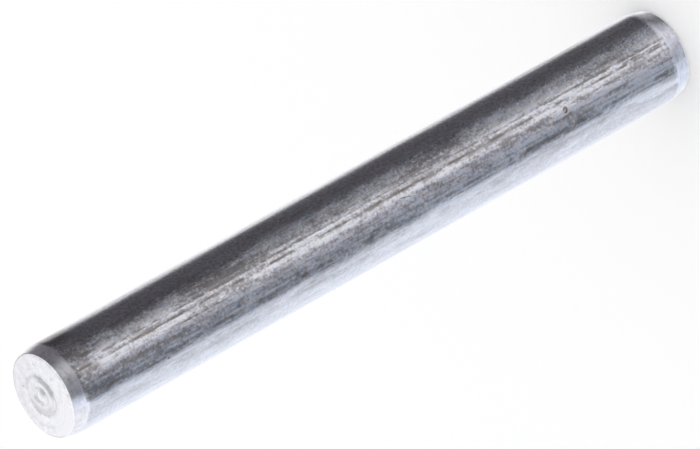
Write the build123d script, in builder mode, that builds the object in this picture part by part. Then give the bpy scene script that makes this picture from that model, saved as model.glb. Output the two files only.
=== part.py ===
from build123d import *

import os
from math import radians, tan

# Parallel dowel pin: a length of drawn steel bar, parted off and turned at both ends.
# It stands on its far end. +Z runs along the axis, and the origin is the centre of that end face.

# Bar
pin_diameter = 6.0
pin_length = 50.0

# Both ends: a long shallow chamfer that leads the pin into its hole
chamfer_length = 1.15
chamfer_angle = 12.0
shoulder_round = 1.0
rim_round = 0.15

# Ring grooves that the parting tool left round the centre of the upper face
outer_groove_radius = 1.12
outer_groove_width = 0.46
outer_groove_depth = 0.05
inner_groove_radius = 0.48
inner_groove_width = 0.40
inner_groove_depth = 0.05

body_radius = pin_diameter / 2
rim_radius = body_radius - chamfer_length * tan(radians(chamfer_angle))
upper_face = Plane(origin=(0, 0, pin_length), x_dir=(1, 0, 0), z_dir=(0, -1, 0))
grooves = (
    (outer_groove_radius, outer_groove_width, outer_groove_depth),
    (inner_groove_radius, inner_groove_width, inner_groove_depth),
)

with BuildPart() as dowel_pin:
    # Half section from the axis outwards, with a chamfer at each end
    with BuildSketch(Plane.XZ):
        with BuildLine():
            Polyline(
                (0, 0),
                (rim_radius, 0),
                (body_radius, chamfer_length),
                (body_radius, pin_length - chamfer_length),
                (rim_radius, pin_length),
                (0, pin_length),
                close=True,
            )
        make_face()
    revolve(axis=Axis.Z)

    # The rims round over the end faces, and the shoulders blend the chamfers into the bar
    rims, shoulders = dowel_pin.edges().filter_by(GeomType.CIRCLE).group_by(SortBy.RADIUS)
    fillet(shoulders, radius=shoulder_round)
    fillet(rims, radius=rim_round)

    # Grooves in the upper face, with a flat land between them and a small pip inside
    with BuildSketch(upper_face):
        for radius, width, depth in grooves:
            with BuildLine():
                inner_lip = (radius - width / 2, 0)
                outer_lip = (radius + width / 2, 0)
                ThreePointArc(inner_lip, (radius, -depth), outer_lip)
                Line(outer_lip, inner_lip)
            make_face()
    revolve(axis=Axis.Z, mode=Mode.SUBTRACT)

dowel_pin.part.label = "dowel_pin"
os.makedirs("parts", exist_ok=True)
export_step(dowel_pin.part, "parts/dowel_pin.step")
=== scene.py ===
import math

import bpy
from bpy.props import FloatProperty, FloatVectorProperty, IntProperty, PointerProperty
from bpy.types import Operator, Panel, PropertyGroup
from mathutils import Matrix, Vector


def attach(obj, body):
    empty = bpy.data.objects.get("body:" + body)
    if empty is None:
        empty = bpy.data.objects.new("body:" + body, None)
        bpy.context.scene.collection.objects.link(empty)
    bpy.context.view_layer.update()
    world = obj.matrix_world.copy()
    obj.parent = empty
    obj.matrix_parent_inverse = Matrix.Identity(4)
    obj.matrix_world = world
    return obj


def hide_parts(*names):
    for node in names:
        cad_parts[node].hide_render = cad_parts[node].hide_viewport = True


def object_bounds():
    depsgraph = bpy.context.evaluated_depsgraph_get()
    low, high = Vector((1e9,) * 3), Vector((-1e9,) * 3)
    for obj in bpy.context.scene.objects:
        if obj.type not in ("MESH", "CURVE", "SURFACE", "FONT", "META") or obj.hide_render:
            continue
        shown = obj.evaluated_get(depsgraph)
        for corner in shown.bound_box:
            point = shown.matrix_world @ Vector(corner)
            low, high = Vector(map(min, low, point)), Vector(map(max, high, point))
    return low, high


# A steel dowel pin, 6 x 50 mm, standing on one end: the look of the bar, its turned ends and its marks.
# Azimuths run round the pin from the camera's side, which is -Y, towards +X.

bl_info = {
    "name": "Dowel pin",
    "version": (1, 0, 0),
    "blender": (4, 5, 0),
    "location": "3D View > Sidebar > Dowel pin",
    "description": "Turned steel dowel pin with draw marks, turned end faces and a soft studio",
    "category": "Add Mesh",
}

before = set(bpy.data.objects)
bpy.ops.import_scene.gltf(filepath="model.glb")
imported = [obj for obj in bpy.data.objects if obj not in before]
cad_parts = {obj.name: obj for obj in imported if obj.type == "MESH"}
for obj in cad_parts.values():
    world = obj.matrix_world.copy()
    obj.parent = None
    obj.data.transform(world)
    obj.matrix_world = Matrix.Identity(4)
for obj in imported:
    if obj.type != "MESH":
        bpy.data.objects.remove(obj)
CAD_LOW, CAD_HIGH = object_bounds()
MM = 0.001
DEGREES = 180 / math.pi
PIN_NODE = "dowel_pin"

# Picture that the camera is set up for, in pixels, and the camera's sensor, in millimetres
PICTURE_WIDTH = 700
PICTURE_HEIGHT = 449
SENSOR_WIDTH = 36.0


class PinSizes(PropertyGroup):
    """Sizes of the pin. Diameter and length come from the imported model. The other defaults are the sizes that
    it was built with, apart from the shoulder's round.
    """

    diameter: FloatProperty(
        name="Diameter", description="Across the drawn bar", default=CAD_HIGH.x - CAD_LOW.x, unit="LENGTH"
    )
    length: FloatProperty(
        name="Length", description="From end face to end face", default=CAD_HIGH.z - CAD_LOW.z, unit="LENGTH"
    )
    chamfer_length: FloatProperty(
        name="Chamfer length", description="Along the axis", default=1.15 * MM, unit="LENGTH"
    )
    chamfer_angle: FloatProperty(
        name="Chamfer angle",
        description="Between chamfer and axis",
        default=math.radians(12),
        subtype="ANGLE",
    )
    shoulder_round: FloatProperty(
        name="Shoulder round",
        description="From chamfer to bar, worn softer than new",
        default=3.0 * MM,
        unit="LENGTH",
    )
    rim_round: FloatProperty(
        name="Rim round", description="Radius from end face to chamfer", default=0.15 * MM, unit="LENGTH"
    )
    outer_groove_radius: FloatProperty(
        name="Outer groove radius",
        description="At the middle of the groove",
        default=1.12 * MM,
        unit="LENGTH",
    )
    outer_groove_width: FloatProperty(
        name="Outer groove width", description="From lip to lip", default=0.46 * MM, unit="LENGTH"
    )
    outer_groove_depth: FloatProperty(
        name="Outer groove depth", description="Under the face", default=0.05 * MM, unit="LENGTH"
    )
    inner_groove_radius: FloatProperty(
        name="Inner groove radius",
        description="At the middle of the groove",
        default=0.48 * MM,
        unit="LENGTH",
    )
    inner_groove_width: FloatProperty(
        name="Inner groove width", description="From lip to lip", default=0.40 * MM, unit="LENGTH"
    )
    inner_groove_depth: FloatProperty(
        name="Inner groove depth", description="Under the face", default=0.05 * MM, unit="LENGTH"
    )


class SurfaceMarks(PropertyGroup):
    """The skin's fineness, and the marks that drawing the bar and turning its ends left in the metal."""

    facets_around: IntProperty(
        name="Facets around", description="Columns of faces round the pin", default=250
    )
    rows_along: IntProperty(name="Rows along", description="Rows of faces from end to end", default=180)
    rings_per_face: IntProperty(
        name="Rings per face", description="Rings of faces on an end face", default=64
    )
    draw_depth: FloatProperty(
        name="Draw mark depth", description="Deepest long streak", default=0.008 * MM, unit="LENGTH"
    )
    wave_depth: FloatProperty(
        name="Wave depth", description="Slow ripple of the drawn surface", default=0.03 * MM, unit="LENGTH"
    )
    seam_depth: FloatProperty(
        name="Seam depth", description="Single score line along the bar", default=0.008 * MM, unit="LENGTH"
    )
    turning_depth: FloatProperty(
        name="Turning mark depth", description="Rings on the ends", default=0.02 * MM, unit="LENGTH"
    )
    ring_offset: FloatProperty(
        name="Ring offset",
        description="How far the face's rings are off the axis",
        default=0.2 * MM,
        unit="LENGTH",
    )
    seed: IntProperty(name="Seed", description="Picks another set of marks", default=7)


class SteelFinish(PropertyGroup):
    """Colours and roughness of the steel."""

    steel: FloatVectorProperty(
        name="Steel", description="Bright drawn steel", default=(0.86, 0.87, 0.91), subtype="COLOR"
    )
    stain: FloatVectorProperty(
        name="Stain", description="Dull film in the draw marks", default=(0.38, 0.36, 0.36), subtype="COLOR"
    )
    # Rubbed lines along the bar, and also the colour of the painted highlights on the shoulders and rims
    burnish_and_highlight: FloatVectorProperty(
        name="Burnished steel",
        description="Rubbed lines along the bar",
        default=(0.94, 0.94, 0.96),
        subtype="COLOR",
    )
    score: FloatVectorProperty(
        name="Score", description="Dirt in the score lines", default=(0.22, 0.19, 0.17), subtype="COLOR"
    )
    turned: FloatVectorProperty(
        name="Turned steel", description="Freshly cut ends", default=(0.76, 0.76, 0.79), subtype="COLOR"
    )
    rust: FloatVectorProperty(
        name="Rust", description="Small rust spot", default=(0.12, 0.07, 0.03), subtype="COLOR"
    )
    bar_roughness: FloatProperty(name="Bar roughness", description="Drawn surface", default=0.15)
    chamfer_roughness: FloatProperty(
        name="Chamfer roughness", description="Turned surface", default=0.18
    )
    face_roughness: FloatProperty(name="Face roughness", description="Parted-off surface", default=0.28)


class StudioSetup(PropertyGroup):
    """Camera and floor."""

    focal_pixels: FloatProperty(
        name="Focal length", description="In pixels of the picture", default=15000.0
    )
    distance: FloatProperty(
        name="Distance", description="Camera to the upper end face", default=894.28 * MM, unit="LENGTH"
    )
    axis_turn: FloatProperty(
        name="Axis turn",
        description="Pin's axis in the picture, from the right",
        default=math.radians(29.188),
        subtype="ANGLE",
    )
    axis_tilt: FloatProperty(
        name="Axis tilt",
        description="Between the axis and the line of sight",
        default=math.radians(59.956),
        subtype="ANGLE",
    )
    face_x: FloatProperty(
        name="Face across", description="Pixels from the picture's left side", default=42.62
    )
    face_y: FloatProperty(name="Face down", description="Pixels from the picture's top", default=396.14)
    floor_size: FloatProperty(name="Floor", description="Side of the floor", default=6.0, unit="LENGTH")


class Number:
    """A value in a node tree. Python's operators on it add Math nodes to the tree."""

    def __init__(self, maker, socket):
        self.maker = maker
        self.socket = socket

    def __add__(self, other):
        return self.maker.math("ADD", self, other)

    def __radd__(self, other):
        return self.maker.math("ADD", other, self)

    def __sub__(self, other):
        return self.maker.math("SUBTRACT", self, other)

    def __rsub__(self, other):
        return self.maker.math("SUBTRACT", other, self)

    def __mul__(self, other):
        return self.maker.math("MULTIPLY", self, other)

    def __rmul__(self, other):
        return self.maker.math("MULTIPLY", other, self)

    def __truediv__(self, other):
        return self.maker.math("DIVIDE", self, other)

    def __neg__(self):
        return self.maker.math("MULTIPLY", self, -1.0)


class NodeMaker:
    """Adds nodes to one tree."""

    def __init__(self, tree):
        self.tree = tree

    def node(self, kind, settings=None, inputs=None):
        """Adds a node, sets its settings, and then gives its sockets their values or links."""
        made = self.tree.nodes.new(kind)
        for name, value in (settings or {}).items():
            if name == "stops":
                self.set_stops(made.color_ramp.elements, value)
            else:
                setattr(made, name, value)
        for key, value in (inputs or {}).items():
            socket = made.inputs[key] if isinstance(key, int) else self.named(made.inputs, key)
            if isinstance(value, Number):
                self.tree.links.new(value.socket, socket)
            elif isinstance(value, bpy.types.NodeSocket):
                self.tree.links.new(value, socket)
            else:
                socket.default_value = value
        return made

    @staticmethod
    def named(sockets, key):
        """The socket with that identifier or, failing that, the enabled one with that name."""
        for socket in sockets:
            if socket.identifier == key:
                return socket
        return next(socket for socket in sockets if socket.name == key and socket.enabled)

    @staticmethod
    def set_stops(elements, stops):
        """Gives a colour ramp its stops, each a position and a colour."""
        while len(elements) < len(stops):
            elements.new(1.0)
        for element, (position, colour) in zip(elements, stops):
            element.position = position
            element.color = solid_colour(colour)

    def number(self, made, output=0):
        """One output of a node, for use in expressions."""
        return Number(self, made.outputs[output])

    def math(self, operation, *values, clamp=False):
        settings = {"operation": operation, "use_clamp": clamp}
        return self.number(self.node("ShaderNodeMath", settings, dict(enumerate(values))))

    def largest(self, first, second):
        return self.math("MAXIMUM", first, second)

    def size_of(self, value):
        return self.math("ABSOLUTE", value)

    def share_of(self, value, whole):
        """How much of a stretch is behind a value: 0 before it, 1 past it and even between."""
        return self.math("DIVIDE", value, whole, clamp=True)

    def vector_node(self, operation, *values):
        return self.node("ShaderNodeVectorMath", {"operation": operation}, dict(enumerate(values)))

    def vector_math(self, operation, *values):
        return self.vector_node(operation, *values).outputs[0]

    def scaled(self, vector, factor):
        made = self.node("ShaderNodeVectorMath", {"operation": "SCALE"}, {0: vector, "Scale": factor})
        return made.outputs[0]

    def length(self, vector):
        return self.number(self.vector_node("LENGTH", vector), "Value")

    def distance(self, first, second):
        return self.number(self.vector_node("DISTANCE", first, second), "Value")

    def split(self, vector):
        """The three numbers of a vector."""
        made = self.node("ShaderNodeSeparateXYZ", inputs={0: vector})
        return [self.number(made, axis) for axis in range(3)]

    def joined(self, x, y, z):
        return self.node("ShaderNodeCombineXYZ", inputs={0: x, 1: y, 2: z}).outputs[0]

    def step(self, value, low, high):
        """0 under low, 1 over high and smooth between."""
        made = self.node(
            "ShaderNodeMapRange",
            {"interpolation_type": "SMOOTHSTEP"},
            {"Value": value, "From Min": low, "From Max": high},
        )
        return self.number(made)

    def noise(self, vector, scale, detail, roughness):
        made = self.node(
            "ShaderNodeTexNoise",
            {"noise_dimensions": "3D"},
            {"Vector": vector, "Scale": scale, "Detail": detail, "Roughness": roughness},
        )
        return self.number(made)

    def line_noise(self, value, scale, detail, roughness):
        made = self.node(
            "ShaderNodeTexNoise",
            {"noise_dimensions": "1D"},
            {"W": value, "Scale": scale, "Detail": detail, "Roughness": roughness},
        )
        return self.number(made)

    def mix_colour(self, factor, first, second, blend="MIX"):
        made = self.node(
            "ShaderNodeMix",
            {"data_type": "RGBA", "blend_type": blend},
            {"Factor_Float": factor, "A_Color": first, "B_Color": second},
        )
        return self.named(made.outputs, "Result_Color")


def solid_colour(colour):
    return (*colour, 1.0)


def own_properties(group):
    """The properties that a PropertyGroup's class declares, by key."""
    return {key: made for key, made in group.bl_rna.properties.items() if key not in ("name", "rna_type")}


# Turned pin: one Geometry Nodes tree lays a fine skin over the turned form

# Rows of faces on each end's rim round, chamfer and shoulder round
RIM_ROWS = 6
CHAMFER_ROWS = 12
SHOULDER_ROWS = 8
# The blank's points nearer to the axis than this belong to its end faces
FACE_REACH = 0.9999
# Grooves of the upper face: name, how far off the axis in ring offsets, and share of the depth at the sides.
# Each groove is deepest towards the camera and shallowest behind the axis
GROOVES = (("Outer", 0.6, 0.6), ("Inner", 1.4, 0.9))
# Score line along the bar, its half width in millimetres
SEAM_AZIMUTH = math.radians(5.5)
SEAM_HALF_WIDTH = 0.11
# Noise on the bar is read on a cylinder of this radius, in millimetres, and a seed moves it this far along
NOISE_RADIUS = 3.0
SEED_STEP = 11.0


def tree_inputs(scene):
    """Name, socket type and value of each size and mark that the tree is given."""
    inputs = []
    for group in (scene.pin_sizes, scene.pin_marks):
        for key, made in own_properties(group).items():
            kind = "NodeSocketInt" if made.type == "INT" else "NodeSocketFloat"
            inputs.append((made.name, kind, getattr(group, key)))
    inputs.append(("Steel", "NodeSocketMaterial", drawn_steel(scene.pin_finish)))
    return inputs


def turned_section(make, given, z):
    """Follows a blank row over rim arc, straight chamfer, shoulder arc and bar.

    It returns the row's radius, its depth under the end face and its share of the shoulder's arc.
    """
    rows = given["Rows along"]
    row = (0.5 - make.size_of(z)) * rows
    shoulder_start = RIM_ROWS + CHAMFER_ROWS
    bar_start = shoulder_start + SHOULDER_ROWS
    in_rim = make.share_of(row, RIM_ROWS)
    in_chamfer = make.share_of(row - RIM_ROWS, CHAMFER_ROWS)
    in_shoulder = make.share_of(row - shoulder_start, SHOULDER_ROWS)
    in_bar = make.share_of(row - bar_start, rows * 0.5 - bar_start)

    angle = given["Chamfer angle"]
    rim = given["Rim round"]
    shoulder = given["Shoulder round"]
    rim_turn = math.pi / 2 - angle
    rim_tangent = rim * make.math("TANGENT", rim_turn * 0.5)
    shoulder_tangent = shoulder * make.math("TANGENT", angle * 0.5)
    slant = given["Chamfer length"] / make.math("COSINE", angle) - rim_tangent - shoulder_tangent
    bar_radius = given["Diameter"] * 0.5
    face_radius = bar_radius - given["Chamfer length"] * make.math("TANGENT", angle) - rim_tangent
    turned = rim_turn * in_rim
    heading = angle * (1.0 - in_shoulder)
    radius = (
        face_radius
        + rim * make.math("SINE", turned)
        + slant * make.math("SINE", angle) * in_chamfer
        + shoulder * (make.math("COSINE", heading) - make.math("COSINE", angle))
    )
    depth = (
        rim * (1.0 - make.math("COSINE", turned))
        + slant * make.math("COSINE", angle) * in_chamfer
        + shoulder * (make.math("SINE", angle) - make.math("SINE", heading))
    )
    ends = given["Chamfer length"] + shoulder_tangent
    depth = depth + (given["Length"] * 0.5 - ends) * in_bar
    return radius, depth, in_shoulder


def groove_depth(make, given, spread, outward, upper):
    """How far the upper face's grooves lie under it, as shallow dips with soft lips."""
    _, outward_y, _ = make.split(outward)
    sunk = 0.0
    for name, off_axis, at_sides in GROOVES:
        middle = make.joined(0.0, given["Ring offset"] * (off_axis * upper), 0.0)
        off = make.distance(spread, middle) - given[f"{name} groove radius"]
        across = off / (given[f"{name} groove width"] * 0.5)
        dip = make.largest(1.0 - across * across, 0.0)
        turned_to_camera = at_sides - outward_y * (1.0 - at_sides)
        sunk = sunk + given[f"{name} groove depth"] * dip * dip * turned_to_camera
    return sunk


def drawn_depth(make, given, x, y, height):
    """How far the drawing die's streaks, ripple and score line lie under the bar's surface."""
    azimuth = make.math("ARCTAN2", x, -y)
    height_mm = height / MM
    seed = given["Seed"] * SEED_STEP
    noise_x = x * NOISE_RADIUS
    noise_y = y * NOISE_RADIUS
    streaks = make.noise(make.joined(noise_x, noise_y, height_mm * 0.12 + seed), 2.2, 3.0, 0.6)
    ripple = make.noise(make.joined(noise_x, noise_y, height_mm * 0.35 + seed), 0.7, 2.0, 0.5)
    seam_off = (azimuth - SEAM_AZIMUTH) * (given["Diameter"] * 0.5 / MM) / SEAM_HALF_WIDTH
    seam = make.largest(1.0 - seam_off * seam_off, 0.0)
    return given["Draw mark depth"] * streaks + given["Wave depth"] * ripple + given["Seam depth"] * seam


def ring_depth(make, given, ring_radius, depth, on_face, in_shoulder):
    """How far the turning tool's rings lie under the ends, deepest near the middle of a face."""
    path = (ring_radius - depth) / MM
    near_middle = 1.0 - make.step(ring_radius / MM, 1.2, 1.6)
    deeper = on_face * (0.6 + 2.2 * near_middle) + 0.2
    rings = make.line_noise(path + given["Seed"] * SEED_STEP, 6.0, 2.0, 0.6)
    return given["Turning mark depth"] * rings * (1.0 - in_shoulder) * deeper


def pin_tree(inputs):
    """The tree that makes the skin. Distances inside it are in metres, and noise reads millimetres."""
    tree = bpy.data.node_groups.new("Turned pin", "GeometryNodeTree")
    for name, kind, _value in inputs:
        tree.interface.new_socket(name, in_out="INPUT", socket_type=kind)
    tree.interface.new_socket("Geometry", in_out="OUTPUT", socket_type="NodeSocketGeometry")
    make = NodeMaker(tree)
    group = make.node("NodeGroupInput")
    given = {name: make.number(group, name) for name, _kind, _value in inputs}

    # A cylinder of unit radius and height carries the rows. A point's row says where on the section it goes
    blank = make.node(
        "GeometryNodeMeshCylinder",
        {"fill_type": "TRIANGLE_FAN"},
        {
            "Vertices": given["Facets around"],
            "Side Segments": given["Rows along"],
            "Fill Segments": given["Rings per face"],
            "Radius": 1.0,
            "Depth": 1.0,
        },
    )
    x, y, z = make.split(make.node("GeometryNodeInputPosition").outputs[0])
    flat = make.joined(x, y, 0.0)
    reach = make.length(flat)
    outward = make.vector_math("NORMALIZE", flat)
    side = make.math("SIGN", z)
    upper = make.math("GREATER_THAN", z, 0.0)
    on_face = make.math("LESS_THAN", reach, FACE_REACH)
    radius, depth, in_shoulder = turned_section(make, given, z)
    radius = radius * reach
    height = side * (given["Length"] * 0.5 - depth)

    # Marks: streaks on the bar only, grooves on the upper face only, and turning rings on both ends
    spread = make.scaled(outward, radius)
    ring_radius = make.distance(spread, make.joined(0.0, given["Ring offset"] * upper, 0.0))
    drawn = drawn_depth(make, given, x, y, height) * in_shoulder
    sunk = groove_depth(make, given, spread, outward, upper) * upper * on_face
    rings = ring_depth(make, given, ring_radius, depth, on_face, in_shoulder)
    side_in = drawn + rings * (1.0 - on_face)
    face_in = sunk + rings * on_face

    ring = make.scaled(outward, radius - side_in)
    level = given["Length"] * 0.5 + height - side * face_in
    placed = make.vector_math("ADD", ring, make.joined(0.0, 0.0, level))
    moved = make.node(
        "GeometryNodeSetPosition", inputs={"Geometry": blank.outputs["Mesh"], "Position": placed}
    )
    smooth = make.node("GeometryNodeSetShadeSmooth", inputs={"Geometry": moved.outputs[0]})
    real = make.node("GeometryNodeRealizeInstances", inputs={"Geometry": smooth.outputs[0]})
    dressed = make.node(
        "GeometryNodeSetMaterial", inputs={"Geometry": real.outputs[0], "Material": given["Steel"]}
    )
    make.node("NodeGroupOutput", inputs={"Geometry": dressed.outputs[0]})
    return tree


def set_inputs(modifier, inputs):
    """Gives a Geometry Nodes modifier its inputs, each by its socket's identifier."""
    values = {name: value for name, _kind, value in inputs}
    for item in modifier.node_group.interface.items_tree:
        if item.item_type == "SOCKET" and item.in_out == "INPUT":
            modifier[item.identifier] = values[item.name]


# Lines that the drawing die left along the bar: azimuth and half width in degrees, strength
DARK_LINES = (
    (5.2, 2.2, 0.95),
    (12.2, 1.7, 0.65),
    (7.9, 0.8, 0.30),
    (-13.5, 1.5, 0.45),
    (-20.8, 1.8, 0.30),
    (-27.0, 3.2, 0.70),
    (-31.5, 2.4, 0.60),
    (74.0, 1.2, 0.40),
    (121.0, 1.6, 0.60),
    (163.0, 1.2, 0.50),
    (-148.0, 1.8, 0.55),
    (-96.0, 1.2, 0.40),
)
LIGHT_LINES = (
    (9.6, 2.4, 0.95),
    (0.7, 3.4, 0.95),
    (15.8, 1.6, 0.75),
    (21.0, 1.2, 0.30),
    (-23.0, 1.2, 0.60),
    (-37.5, 2.4, 0.55),
    (-43.0, 1.8, 0.35),
    (88.0, 1.6, 0.50),
    (142.0, 2.0, 0.60),
    (-121.0, 1.8, 0.50),
)
# Nicks and other small patches: azimuth in degrees, height, half width and half length in millimetres, slant,
# strength
DARK_NICKS = (
    (-21.5, 32.05, 0.14, 0.22, 0.6, 0.6),
    (-17.5, 31.88, 0.06, 0.14, 2.4, 0.5),
    (-23.4, 24.45, 0.18, 0.28, 0.4, 0.45),
    (5.4, 43.40, 0.07, 3.60, 0.0, 0.8),
    (0.5, 48.20, 0.28, 1.50, 0.0, 0.35),
    (9.5, 20.50, 0.16, 4.50, 0.0, 0.40),
    (11.5, 45.90, 0.10, 0.50, 0.0, 0.6),
    (19.0, 47.60, 0.16, 0.60, 0.0, 0.5),
    (-34.2, 42.55, 0.09, 0.13, 0.0, 0.9),
    (-30.6, 43.10, 0.09, 0.14, 0.0, 0.5),
    (8.4, 3.60, 0.09, 0.60, 0.0, 0.8),
    (8.1, 1.78, 0.09, 0.50, 0.0, 0.8),
    (-4.4, 22.80, 0.06, 0.60, -0.26, 0.9),
    (-4.7, 40.20, 0.06, 0.90, 0.0, 0.9),
    (-5.4, 38.00, 0.05, 2.20, 0.0, 0.5),
    (-25.3, 8.96, 0.12, 0.20, 0.0, 0.4),
    (-19.8, 8.30, 0.06, 0.60, 0.1, 0.5),
    (-22.5, 6.10, 0.09, 0.13, 0.0, 0.5),
)
LIGHT_NICKS = (
    (-31.4, 24.45, 0.05, 0.16, -1.2, 0.7),
    (-38.0, 40.60, 0.07, 0.30, -0.2, 0.8),
    (11.0, 9.90, 0.12, 0.35, 0.0, 0.8),
    (12.5, 46.60, 0.10, 0.40, 0.0, 0.8),
    (16.0, 43.90, 0.06, 0.35, 0.3, 0.7),
    (9.4, 45.00, 0.09, 1.80, 0.0, 0.8),
    (9.0, 36.80, 0.08, 2.60, 0.0, 0.7),
    (21.0, 26.60, 0.10, 0.40, 0.0, 0.6),
    (24.0, 21.00, 0.08, 0.35, 0.2, 0.6),
    (1.0, 25.20, 0.12, 0.70, 0.0, 0.7),
    (1.2, 19.50, 0.12, 0.90, 0.0, 0.7),
)
RUST_SPOT = (-6.2, 9.86, 0.27, 0.25, 0.3, 1.0)
CHAMFER_DIRT = (-2.0, 49.48, 0.40, 0.22, 0.0, 0.15)
CHAMFER_RUBS = (
    (17.0, 49.25, 0.60, 0.24, 0.0, 0.8),
    (12.0, 49.65, 0.35, 0.16, 0.0, 0.5),
)
# Marks painted on the end faces, in millimetres and degrees. Dots, on the upper face only: place, radius, and
# strength, negative if bright. The widest is painted shade round the middle, the bright one a painted highlight
# on the pip.
# Arcs of painted shade in the rings, which lie round the rings' middle: radius, half width, middle azimuth,
# half turn, strength
FACE_DOTS_AND_PAINTED_LIGHT = (
    (1.95, -0.87, 0.10, 0.25),
    (1.10, 1.45, 0.14, 0.25),
    (0.60, -1.80, 0.14, 0.20),
    (-1.16, -0.26, 0.12, 0.20),
    (0.20, -0.12, 0.44, 0.25),
    (0.09, 0.48, 0.26, -0.12),
)
RINGS_MIDDLE = (0.06, 0.30)
PAINTED_RING_SHADE = (
    (1.22, 0.34, 20.0, 56.0, 0.38),
    (1.12, 0.34, -118.0, 80.0, 0.19),
    (1.26, 0.20, 100.0, 50.0, 0.12),
    (0.46, 0.22, 40.0, 70.0, 0.14),
    (0.54, 0.20, -143.0, 70.0, 0.20),
    (2.05, 0.16, -150.0, 70.0, 0.08),
)
# Where the chamfers end, in millimetres from an end face. The lower one is a little longer
SHOULDER_HEIGHT = 0.95
LOWER_SHOULDER_EXTRA = 0.12
SHOULDER_BLEND = (-0.03, 0.15)
# Radius and depth over which an end face gives way to its rim, in millimetres
FACE_EDGE = (2.62, 2.70)
RIM_DEPTH = (0.12, 0.2)
# Stretches of height over which the look changes, in millimetres
LOWER_HALF = (10.0, 20.0)
LOWER_END = (2.5, 5.0)
UPPER_END = (46.6, 48.2)
# Bands of azimuth on the bar: middle and half width, in degrees
CALM_BAND = (56.0, 22.0)
GRITTY_BAND = (24.0, 20.0)
RUBBED_BAND = (5.0, 14.0)
RIGHT_BACK_BAND = (132.0, 40.0)
LEFT_BACK_BAND = (-140.0, 36.0)
UPPER_EDGE_BAND = (66.0, 24.0)
# Bands over which the shoulders' painted highlight is weaker, and stronger on the lower half
WEAK_SHOULDER_HIGHLIGHT_BAND = (56.0, 34.0)
LOWER_SHOULDER_HIGHLIGHT_BAND = (12.0, 26.0)
# Azimuths towards -X over which the rims' painted highlight starts, and the pale side starts, turns smooth and
# ends
RIM_HIGHLIGHT_START = (5.0, 35.0)
PALE_START = (32.0, 37.0)
SMOOTH_START = (44.0, 58.0)
PALE_END = (95.0, 110.0)
# The worn front's middle azimuth, and how far from it the wear ends
FRONT_MIDDLE = 2.0
FRONT_END = (30.0, 38.0)


class PinSurface:
    """Where a point of the steel lies, in millimetres and degrees, and marks laid out by that."""

    def __init__(self, make):
        coordinates = make.node("ShaderNodeTexCoord").outputs["Object"]
        per_mm = (1 / MM, 1 / MM, 1 / MM)
        mapping = {"Vector": coordinates, "Scale": per_mm}
        self.make = make
        self.place = make.node("ShaderNodeMapping", {"vector_type": "POINT"}, mapping).outputs[0]
        self.x, self.y, self.z = make.split(self.place)
        self.length = (CAD_HIGH.z - CAD_LOW.z) / MM
        self.radius = (CAD_HIGH.x - CAD_LOW.x) / 2 / MM
        self.turn = make.math("ARCTAN2", self.x, -self.y) * DEGREES
        self.from_axis = make.math("SQRT", self.x * self.x + self.y * self.y)
        self.from_end = make.math("MINIMUM", self.z, self.length - self.z)
        self.lower_half = 1.0 - make.step(self.z, *LOWER_HALF)
        self.from_shoulder = self.from_end - SHOULDER_HEIGHT - self.lower_half * LOWER_SHOULDER_EXTRA
        self.on_bar = make.step(self.from_shoulder, *SHOULDER_BLEND)
        near_face = 1.0 - make.step(self.from_end, *RIM_DEPTH)
        self.on_face = near_face * (1.0 - make.step(self.from_axis, *FACE_EDGE))

    def along(self, stretch, scale, detail, roughness, start):
        """Noise drawn out along the bar: a smaller stretch makes longer marks."""
        point = self.make.joined(self.x, self.y, self.z * stretch + start)
        return self.make.noise(point, scale, detail, roughness)

    def band(self, middle, half_width, wander=0.0):
        """A soft line along the bar at an azimuth in degrees."""
        off = self.make.size_of(self.turn - middle - wander)
        return 1.0 - self.make.step(off, half_width * 0.3, half_width)

    def spot(self, azimuth, height, half_width, half_length, slant, strength):
        """A soft oval patch, by azimuth in degrees, and height and sizes in millimetres."""
        across = (self.turn - azimuth) * (math.pi / 180 * self.radius)
        lengthwise = self.z - height
        across = (across + lengthwise * slant) / half_width
        lengthwise = lengthwise / half_length
        off = across * across + lengthwise * lengthwise
        return (1.0 - self.make.step(off, 0.3, 1.0)) * strength

    def strongest(self, start, lines, wander, scale, gap, faintest):
        """The strongest of a table's lines at a point. Each is broken up where its noise is under the gap."""
        found = start
        for azimuth, half_width, strength in lines:
            noise = self.make.line_noise(self.z + azimuth * 7.0, scale, 3.0, 0.6)
            whole = self.make.step(noise, gap, 0.58)
            line = self.band(azimuth, half_width, wander) * (faintest + whole * (1.0 - faintest))
            found = self.make.largest(found, line * strength)
        return found

    def strongest_spot(self, start, spots):
        """The strongest of a table's spots at a point."""
        found = start
        for spot in spots:
            found = self.make.largest(found, self.spot(*spot))
        return found


class SteelGrain:
    """Noises that the marks share, and how far they push a line along the bar sideways, in degrees."""

    def __init__(self, pin):
        self.streaks = pin.along(0.22, 1.9, 4.0, 0.6, 0.0)
        self.long_streaks = pin.along(0.06, 2.0, 2.0, 0.5, 40.0)
        self.grit = pin.along(0.5, 2.1, 4.0, 0.65, 90.0)
        self.splinters = pin.along(0.35, 4.2, 3.0, 0.6, 5.0)
        self.fine = pin.along(0.9, 5.5, 1.0, 0.6, 60.0)
        self.patches = pin.along(0.18, 0.9, 2.0, 0.5, 20.0)
        self.warmth = pin.along(0.8, 4.0, 1.0, 0.6, 10.0) - 0.5
        self.mottle = pin.make.noise(pin.place, 2.0, 4.0, 0.7) - 0.5
        self.rings = pin.make.line_noise(pin.from_axis - pin.from_end, 4.0, 3.0, 0.6) - 0.5
        wander = (pin.make.line_noise(pin.z + 30.0, 0.25, 3.0, 0.5) - 0.5) * 2.0
        self.ragged = wander + (self.splinters - 0.5) * 8.0
        self.straight = wander * 0.5 + (self.splinters - 0.5) * 2.0


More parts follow.
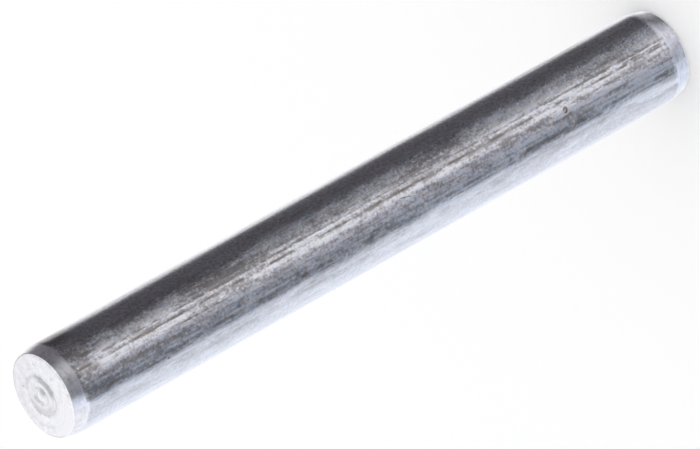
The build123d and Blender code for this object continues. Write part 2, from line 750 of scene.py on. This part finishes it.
class BarZones:
    """Parts of the bar that differ in wear, each a mask from 0 to 1."""

    def __init__(self, pin, grain):
        make = pin.make
        self.calm = pin.band(*CALM_BAND)
        self.pale = make.step(-pin.turn, *PALE_START) * (1.0 - make.step(-pin.turn, *PALE_END))
        self.smooth = make.largest(self.calm, self.pale * make.step(-pin.turn, *SMOOTH_START))
        self.rubbed = pin.band(*RUBBED_BAND)
        gathered = make.largest(pin.band(*GRITTY_BAND), make.step(grain.patches, 0.5, 0.62))
        self.gritty = gathered * (1.0 - self.smooth)
        front = 1.0 - make.step(make.size_of(pin.turn - FRONT_MIDDLE), *FRONT_END)
        back = make.largest(pin.band(*RIGHT_BACK_BAND), pin.band(*LEFT_BACK_BAND))
        self.worn = make.largest(front, back * 0.8)
        self.upper_end = make.step(pin.z, *UPPER_END)
        self.lower_end = 1.0 - make.step(pin.z, *LOWER_END)


def bar_tone(pin, grain, zones):
    """0 where the dull film covers the bar, 1 where the steel is bright."""
    make = pin.make
    blend = grain.streaks * 0.35 + grain.long_streaks * 0.3 + grain.grit * 0.35
    coarse = grain.grit * 0.5 + grain.patches * 0.25 + grain.long_streaks * 0.25
    blend = blend + (coarse - blend) * zones.gritty
    blend = blend + (grain.long_streaks * 0.6 + grain.grit * 0.4 - blend) * zones.rubbed * 0.7
    contrast = 2.4 + zones.worn * 2.6 - zones.smooth * 1.6 + zones.pale * 0.6 + zones.rubbed * 1.6
    fine_contrast = 0.9 + zones.worn * 0.9 + zones.calm * 0.6 + zones.rubbed * 0.3 - zones.pale * 0.35
    tone = (blend - 0.5) * contrast + (grain.fine - 0.5) * fine_contrast

    # In the grit the film is thinnest at the lower end and thickest just below the upper one
    thinner = 0.42 - make.step(pin.z, 9.0, 16.0) * 0.42 - make.step(pin.z, 34.0, 38.0) * 0.24
    thinner = thinner + make.step(pin.z, 43.0, 46.0) * 0.32
    tone = tone + (grain.patches - 0.5) * zones.gritty * 1.4 + thinner * zones.gritty
    tone = tone - zones.upper_end * zones.worn * (0.22 + zones.gritty * 0.45)
    tone = tone + 0.74 - zones.worn * 0.2 - zones.rubbed * 0.1
    tone = tone - zones.pale * (1.0 - make.step(pin.z, 0.0, 34.0)) * 0.12
    tone = tone - zones.upper_end * pin.band(*UPPER_EDGE_BAND) * 0.75

    # At the lower end the worn front is brighter towards +X, and the pale side is darker where it starts
    tone = tone + zones.lower_end * zones.worn * make.step(pin.turn, -12.0, 0.0) * 0.28
    tone = tone - zones.lower_end * zones.pale * (1.0 - make.step(-pin.turn, 50.0, 58.0)) * 0.25
    return make.largest(make.math("MINIMUM", tone, 1.0), 0.0)


def dirt_in_marks(pin, grain):
    """Dirt in the dark lines and nicks, thinner where no splinters hold it."""
    dark = pin.strongest(0.0, DARK_LINES, grain.straight, scale=0.5, gap=0.40, faintest=0.2)
    dark = pin.strongest_spot(dark, DARK_NICKS)
    return dark * (pin.make.step(grain.splinters, 0.3, 0.6) * 0.6 + 0.4)


def rubbed_metal(pin, grain, zones, tone):
    """Bright specks in the grit, lines and nicks. They are duller under the film and at the upper end."""
    specks = pin.make.step(grain.fine * 0.6 + grain.grit * 0.4, 0.56, 0.68) * zones.gritty * 0.6
    light = pin.strongest(specks, LIGHT_LINES, grain.ragged, scale=0.4, gap=0.38, faintest=0.3)
    light = pin.strongest_spot(light, LIGHT_NICKS)
    return light * (0.4 + tone * 0.6) * (1.0 - zones.upper_end * 0.7)


def cut_brightness(pin, grain, zones):
    """How bright the turned ends are: rings, mottling and dirt on the upper chamfer. On the end faces: darker
    dots, painted shade in the rings and round the middle, a painted highlight on the pip and a painted light
    gradient.
    """
    make = pin.make
    outer = pin.on_face * make.step(pin.from_axis, 1.4, 1.8)
    ring_contrast = 0.2 + pin.on_face * 0.2 - outer * 0.25
    mottle_contrast = 1.3 - pin.on_face * 0.7 - zones.pale * 0.6
    cut = 1.0 + grain.rings * ring_contrast + grain.mottle * mottle_contrast
    # Painted light: the end faces are lighter towards -X and -Y and towards their rims
    painted_light_slope = 0.02 - pin.y * 0.012 - pin.x * 0.016 + make.step(pin.from_axis, 1.9, 2.6) * 0.02
    cut = cut + painted_light_slope * pin.on_face
    cut = cut - pin.spot(*CHAMFER_DIRT)
    # Darker dots on the upper face, painted shade round its middle and a painted highlight on the pip
    for across, lengthwise, size, strength in FACE_DOTS_AND_PAINTED_LIGHT:
        off = make.distance(pin.place, (across, lengthwise, pin.length))
        cut = cut - (1.0 - make.step(off, size * 0.3, size)) * strength
    middle_x, middle_y = RINGS_MIDDLE
    off_x = pin.x - middle_x
    off_y = pin.y - middle_y
    from_middle = make.math("SQRT", off_x * off_x + off_y * off_y)
    round_middle = make.math("ARCTAN2", off_x, middle_y - pin.y) * DEGREES
    # Painted shade in the rings of the end faces
    for radius, half_width, azimuth, half_turn, strength in PAINTED_RING_SHADE:
        off = make.size_of(from_middle - radius + grain.mottle * 0.5)
        past = make.size_of(make.math("WRAP", round_middle - azimuth, 180.0, -180.0))
        arc = 1.0 - make.step(off, half_width * 0.3, half_width)
        arc = arc * (1.0 - make.step(past, half_turn * 0.5, half_turn))
        cut = cut - arc * pin.on_face * strength
    return cut


def highlights_and_rubs_on_ends(pin):
    """Painted highlights along the shoulders, where the chamfers meet the bar, and along the rims towards -X,
    where they meet the faces, and rubs on the upper chamfer.
    """
    make = pin.make
    # Painted highlight along each shoulder, weaker about 56 degrees towards +X and stronger at the front of the
    # lower half
    shoulder = 1.0 - make.step(make.size_of(pin.from_shoulder), 0.04, 0.16)
    shoulder = shoulder * (1.0 - pin.band(*WEAK_SHOULDER_HIGHLIGHT_BAND))
    shoulder = shoulder * (0.3 + pin.lower_half * 0.6 * pin.band(*LOWER_SHOULDER_HIGHLIGHT_BAND))
    # Painted highlight along each rim, only towards -X
    rim = (1.0 - make.step(pin.from_end, 0.06, 0.14)) * (1.0 - pin.on_face)
    bright = shoulder + rim * make.step(-pin.turn, *RIM_HIGHLIGHT_START) * 0.8
    for rub in CHAMFER_RUBS:
        bright = bright + pin.spot(*rub)
    return bright


def steel_height(pin, grain, zones, dark):
    """Relief for the bump, in millimetres: streaks and grit on the bar, rings and mottling on the ends."""
    streak_height = 0.010 + zones.worn * 0.014
    grit_height = 0.008 + zones.gritty * 0.018
    bar = (grain.streaks - 0.5) * streak_height + (grain.grit - 0.5) * grit_height
    bar = bar * (1.0 - zones.smooth * 0.8) + (grain.fine - 0.5) * 0.004 - dark * 0.003
    end = grain.rings * (0.002 + pin.on_face * 0.003) + grain.mottle * 0.008
    return end + (bar - end) * pin.on_bar


def drawn_steel(finish):
    """Bright drawn bar with turned ends. Patterns read Object coordinates in millimetres."""
    material = bpy.data.materials.new("drawn_steel")
    material.use_nodes = True
    material.node_tree.nodes.clear()
    make = NodeMaker(material.node_tree)
    pin = PinSurface(make)
    grain = SteelGrain(pin)
    zones = BarZones(pin, grain)

    tone = bar_tone(pin, grain, zones)
    dark = dirt_in_marks(pin, grain)
    light = rubbed_metal(pin, grain, zones, tone)
    bar = make.mix_colour(tone, solid_colour(finish.stain), solid_colour(finish.steel))
    bar = make.mix_colour(light, bar, solid_colour(finish.burnish_and_highlight))
    bar = make.mix_colour(dark, bar, solid_colour(finish.score))

    cut = cut_brightness(pin, grain, zones)
    end = make.mix_colour(1.0, solid_colour(finish.turned), make.joined(cut, cut, cut), "MULTIPLY")
    # Painted highlights on the shoulders and rims, and rubs on the upper chamfer
    end = make.mix_colour(highlights_and_rubs_on_ends(pin), end, solid_colour(finish.burnish_and_highlight))
    colour = make.mix_colour(pin.on_bar, end, bar)

    # Faint warm and cool blotches all over, and one spot of rust
    tint = make.joined(1.0 + grain.warmth * 0.32, 1.0 + grain.warmth * 0.04, 1.0 - grain.warmth * 0.28)
    tinted = (1.0 - zones.pale * 0.6 - zones.rubbed * 0.4) * (0.2 + pin.on_bar * 0.8)
    colour = make.mix_colour(tinted, colour, tint, "MULTIPLY")
    rust = pin.spot(*RUST_SPOT) * (0.5 + make.step(grain.fine, 0.35, 0.6) * 0.5)
    colour = make.mix_colour(rust, colour, solid_colour(finish.rust))

    height = steel_height(pin, grain, zones, dark)
    bump = make.node("ShaderNodeBump", inputs={"Strength": 1.0, "Distance": MM, "Height": height})
    face_extra = finish.face_roughness - finish.chamfer_roughness
    roughness = finish.chamfer_roughness + face_extra * pin.on_face
    roughness = roughness + (finish.bar_roughness - roughness) * pin.on_bar
    shader = make.node(
        "ShaderNodeBsdfPrincipled",
        inputs={
            "Base Color": colour,
            "Metallic": 1.0 - rust * 0.8,
            "Roughness": roughness + rust * 0.4 + (grain.grit - 0.5) * 0.1,
            "Normal": bump.outputs[0],
        },
    )
    make.node("ShaderNodeOutputMaterial", inputs={"Surface": shader.outputs[0]})
    return material


class PIN_OT_turned_pin(Operator):
    """Make the steel pin with its draw marks and turned ends"""

    bl_idname = "pin.turned_pin"
    bl_label = "Turned pin"

    def execute(self, context):
        scene = context.scene
        inputs = tree_inputs(scene)
        carrier = bpy.data.objects.new("turned_pin_tree", bpy.data.meshes.new("turned_pin_tree"))
        scene.collection.objects.link(carrier)
        modifier = carrier.modifiers.new("Turned pin", "NODES")
        modifier.node_group = pin_tree(inputs)
        set_inputs(modifier, inputs)
        evaluated = carrier.evaluated_get(context.evaluated_depsgraph_get())
        mesh = bpy.data.meshes.new_from_object(evaluated)
        mesh.name = "pin_skin"
        bpy.data.objects.remove(carrier)
        pin = bpy.data.objects.new("pin_skin", mesh)
        scene.collection.objects.link(pin)
        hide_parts(PIN_NODE)
        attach(pin, "root")
        return {"FINISHED"}


# Studio: rows of light that polished steel sees round the pin. A stop is azimuth in degrees, level and tint
NEUTRAL = (1.0, 1.0, 1.05)
DUSK = (1.0, 0.95, 1.06)
LILAC = (1.0, 1.01, 1.12)
COOL = (0.93, 1.0, 1.15)
PALE = (0.96, 1.0, 1.09)
PEARL = (1.0, 1.0, 1.04)
WHITE = (1.0, 1.0, 1.01)
BAR_LIGHT = (
    (-180, 1.08, WHITE),
    (-165, 1.06, PALE),
    (-148, 1.06, PALE),
    (-132, 1.03, PALE),
    (-116, 0.97, PALE),
    (-100, 0.86, PALE),
    (-84, 0.79, PALE),
    (-76, 0.71, PALE),
    (-71, 0.54, COOL),
    (-65, 0.42, COOL),
    (-58, 0.33, COOL),
    (-48, 0.30, COOL),
    (-38, 0.36, COOL),
    (-24, 0.41, LILAC),
    (-13, 0.47, LILAC),
    (-7, 0.77, NEUTRAL),
    (20, 0.84, NEUTRAL),
    (27, 0.50, NEUTRAL),
    (36, 0.375, NEUTRAL),
    (48, 0.25, NEUTRAL),
    (60, 0.215, LILAC),
    (66, 0.155, LILAC),
    (71, 0.09, LILAC),
    (84, 0.085, DUSK),
    (104, 0.09, DUSK),
    (120, 0.11, DUSK),
    (127, 0.17, DUSK),
    (133, 0.34, NEUTRAL),
    (139, 0.66, WHITE),
    (146, 0.88, WHITE),
    (158, 1.04, WHITE),
    (180, 1.08, WHITE),
)
UPPER_CHAMFER_LIGHT = (
    (-180, 1.14, WHITE),
    (-124, 1.14, PEARL),
    (-100, 1.12, PEARL),
    (-64, 1.04, PALE),
    (-55, 0.90, COOL),
    (-48, 0.74, COOL),
    (-42, 0.50, COOL),
    (-35, 0.30, LILAC),
    (-24, 0.27, LILAC),
    (-14, 0.32, LILAC),
    (-4, 0.29, NEUTRAL),
    (6, 0.42, NEUTRAL),
    (14, 0.47, NEUTRAL),
    (32, 0.47, NEUTRAL),
    (42, 0.37, NEUTRAL),
    (50, 0.26, LILAC),
    (60, 0.19, DUSK),
    (70, 0.17, DUSK),
    (116, 0.19, DUSK),
    (128, 0.23, DUSK),
    (140, 0.38, DUSK),
    (150, 0.65, WHITE),
    (160, 1.10, WHITE),
    (180, 1.10, WHITE),
)
LOWER_CHAMFER_LIGHT = (
    (-180, 1.20, WHITE),
    (-120, 0.98, COOL),
    (-70, 0.84, COOL),
    (-60, 0.74, COOL),
    (-50, 0.60, COOL),
    (-40, 0.53, COOL),
    (-14, 0.53, LILAC),
    (-4, 0.67, LILAC),
    (15, 0.70, LILAC),
    (34, 0.73, NEUTRAL),
    (53, 0.60, LILAC),
    (72, 0.42, LILAC),
    (82, 0.25, LILAC),
    (98, 0.19, NEUTRAL),
    (114, 0.32, NEUTRAL),
    (123, 0.40, NEUTRAL),
    (131, 0.48, NEUTRAL),
    (140, 0.68, WHITE),
    (149, 1.05, WHITE),
    (170, 1.20, WHITE),
    (180, 1.20, WHITE),
)
# Elevations in degrees over which one row gives way to the next, and the last one to the light overhead
LOWER_CHAMFER_TO_BAR = (-38.0, -33.0)
BAR_TO_UPPER_CHAMFER = (-25.0, -20.0)
OVERHEAD_START = (0.0, 14.0)
# Edges overhead: to the side of the camera's azimuth in radians, and elevation in degrees
DIMMER_SIDE = (1.6, 1.9)
DIMMER_TOP = (70.0, 82.0)
LAMP_SIDE = (2.3, 2.8)
LAMP_RISE = (6.0, 48.0)
LAMP_TOP = (40.0, 56.0)
GAP_SIDE = (2.45, 2.8)
GAP_BOTTOM = (-22.0, -16.0)
GAP_TOP = (4.0, 16.0)


def light_row(make, azimuth, light):
    """A row of light as a colour ramp round the pin."""
    stops = [((angle + 180) / 360, tuple(level * part for part in tint)) for angle, level, tint in light]
    turn = azimuth / (2 * math.pi) + 0.5
    return make.node("ShaderNodeValToRGB", {"stops": stops}, {"Fac": turn}).outputs[0]


def overhead_light(make, azimuth, elevation):
    """What lies above the rows: how far it hides them, and its level.

    It is pale all over. Behind the pin a soft lamp stands in a dimmer area, which the upper face reflects.
    Under the lamp a dim gap hides the rows.
    """
    to_side = make.size_of(azimuth)
    dimmer = make.step(to_side, *DIMMER_SIDE) * (1.0 - make.step(elevation, *DIMMER_TOP))
    lamp = make.step(to_side, *LAMP_SIDE) * (1.0 - make.step(elevation, *LAMP_TOP))
    lamp = lamp * (0.84 + 0.46 * make.step(elevation, *LAMP_RISE))
    gap = make.step(to_side, *GAP_SIDE) * make.step(elevation, *GAP_BOTTOM)
    gap = gap * (1.0 - make.step(elevation, *GAP_TOP))
    level = make.largest(1.08 - 0.10 * dimmer, lamp) * (1.0 - gap * 0.5)
    return make.largest(make.step(elevation, *OVERHEAD_START), gap), level


def studio_world():
    """White to the camera and to matt surfaces. Polished ones see soft stripes with a dark gap."""
    world = bpy.data.worlds.new("studio")
    world.use_nodes = True
    world.node_tree.nodes.clear()
    make = NodeMaker(world.node_tree)
    x, y, z = make.split(make.node("ShaderNodeTexCoord").outputs["Generated"])
    azimuth = make.math("ARCTAN2", x, -y)
    elevation = make.math("ARCSINE", z) * DEGREES
    lower = light_row(make, azimuth, LOWER_CHAMFER_LIGHT)
    middle = light_row(make, azimuth, BAR_LIGHT)
    upper = light_row(make, azimuth, UPPER_CHAMFER_LIGHT)
    shade = make.mix_colour(make.step(elevation, *LOWER_CHAMFER_TO_BAR), lower, middle)
    shade = make.mix_colour(make.step(elevation, *BAR_TO_UPPER_CHAMFER), shade, upper)
    high, level = overhead_light(make, azimuth, elevation)
    shade = make.mix_colour(high, shade, make.joined(level, level, level * 1.01))

    path = make.node("ShaderNodeLightPath")
    plain = make.largest(make.number(path, "Is Camera Ray"), make.number(path, "Is Diffuse Ray"))
    colour = make.mix_colour(plain, shade, solid_colour((1.0, 1.0, 1.0)))
    background = make.node("ShaderNodeBackground", inputs={"Color": colour, "Strength": 1.0})
    make.node("ShaderNodeOutputWorld", inputs={"Surface": background.outputs[0]})
    return world


def studio_floor(setup):
    """A plain pale floor under the pin. Polished steel looks past it to the stripes."""
    half = setup.floor_size / 2
    corners = [(-half, -half, 0), (half, -half, 0), (half, half, 0), (-half, half, 0)]
    mesh = bpy.data.meshes.new("floor")
    mesh.from_pydata(corners, [], [(0, 1, 2, 3)])
    material = bpy.data.materials.new("pale_floor")
    material.use_nodes = True
    material.node_tree.nodes.clear()
    make = NodeMaker(material.node_tree)
    shader = make.node("ShaderNodeBsdfDiffuse", inputs={"Color": solid_colour((1.0, 1.0, 1.0))})
    make.node("ShaderNodeOutputMaterial", inputs={"Surface": shader.outputs[0]})
    mesh.materials.append(material)
    floor = bpy.data.objects.new("floor", mesh)
    floor.visible_glossy = False
    return floor


def aim_camera(camera, setup, length):
    """Puts the camera where the pin lies in the picture as asked, the upper end face nearest."""
    sight_x = (setup.face_x - PICTURE_WIDTH / 2) / setup.focal_pixels
    sight_y = (PICTURE_HEIGHT / 2 - setup.face_y) / setup.focal_pixels
    sight = Vector((sight_x, sight_y, -1.0)).normalized()
    across = Vector((math.cos(setup.axis_turn), math.sin(setup.axis_turn), 0.0))
    across = (across - sight * across.dot(sight)).normalized()
    down_pin = math.cos(setup.axis_tilt) * sight + math.sin(setup.axis_tilt) * across
    up = -down_pin
    back = (sight - up * sight.dot(up)).normalized()
    right = back.cross(up)
    turn = Matrix((right, back, up))
    face = Vector((0.0, 0.0, length))
    place = face - turn @ (sight * setup.distance)
    camera.matrix_world = Matrix.Translation(place) @ turn.to_4x4()
    camera.data.sensor_width = SENSOR_WIDTH
    camera.data.lens = setup.focal_pixels * SENSOR_WIDTH / PICTURE_WIDTH
    camera.data.clip_start = 0.01
    camera.data.clip_end = 20.0


class PIN_OT_studio(Operator):
    """Set the pale floor, the soft light and the camera"""

    bl_idname = "pin.studio"
    bl_label = "Studio"

    def execute(self, context):
        scene = context.scene
        setup = scene.pin_studio
        floor = studio_floor(setup)
        scene.collection.objects.link(floor)
        scene.world = studio_world()
        scene.view_settings.view_transform = "Standard"
        camera = bpy.data.objects.new("camera", bpy.data.cameras.new("camera"))
        scene.collection.objects.link(camera)
        aim_camera(camera, setup, scene.pin_sizes.length)
        scene.camera = camera
        return {"FINISHED"}


class PIN_PT_sidebar(Panel):
    """Sizes, marks, finish and studio of the pin"""

    bl_label = "Dowel pin"
    bl_space_type = "VIEW_3D"
    bl_region_type = "UI"
    bl_category = "Dowel pin"

    def draw(self, context):
        for pointer in POINTERS:
            group = getattr(context.scene, pointer)
            for key in own_properties(group):
                self.layout.prop(group, key)
        self.layout.operator(PIN_OT_studio.bl_idname)
        self.layout.operator(PIN_OT_turned_pin.bl_idname)


CLASSES = (PinSizes, SurfaceMarks, SteelFinish, StudioSetup, PIN_OT_turned_pin, PIN_OT_studio, PIN_PT_sidebar)
POINTERS = {
    "pin_sizes": PinSizes,
    "pin_marks": SurfaceMarks,
    "pin_finish": SteelFinish,
    "pin_studio": StudioSetup,
}


def register():
    for kind in CLASSES:
        bpy.utils.register_class(kind)
    for name, kind in POINTERS.items():
        setattr(bpy.types.Scene, name, PointerProperty(type=kind))


def unregister():
    for name in POINTERS:
        delattr(bpy.types.Scene, name)
    for kind in reversed(CLASSES):
        bpy.utils.unregister_class(kind)


def main():
    register()
    bpy.ops.pin.studio()
    bpy.ops.pin.turned_pin()


if __name__ == "__main__":
    main()
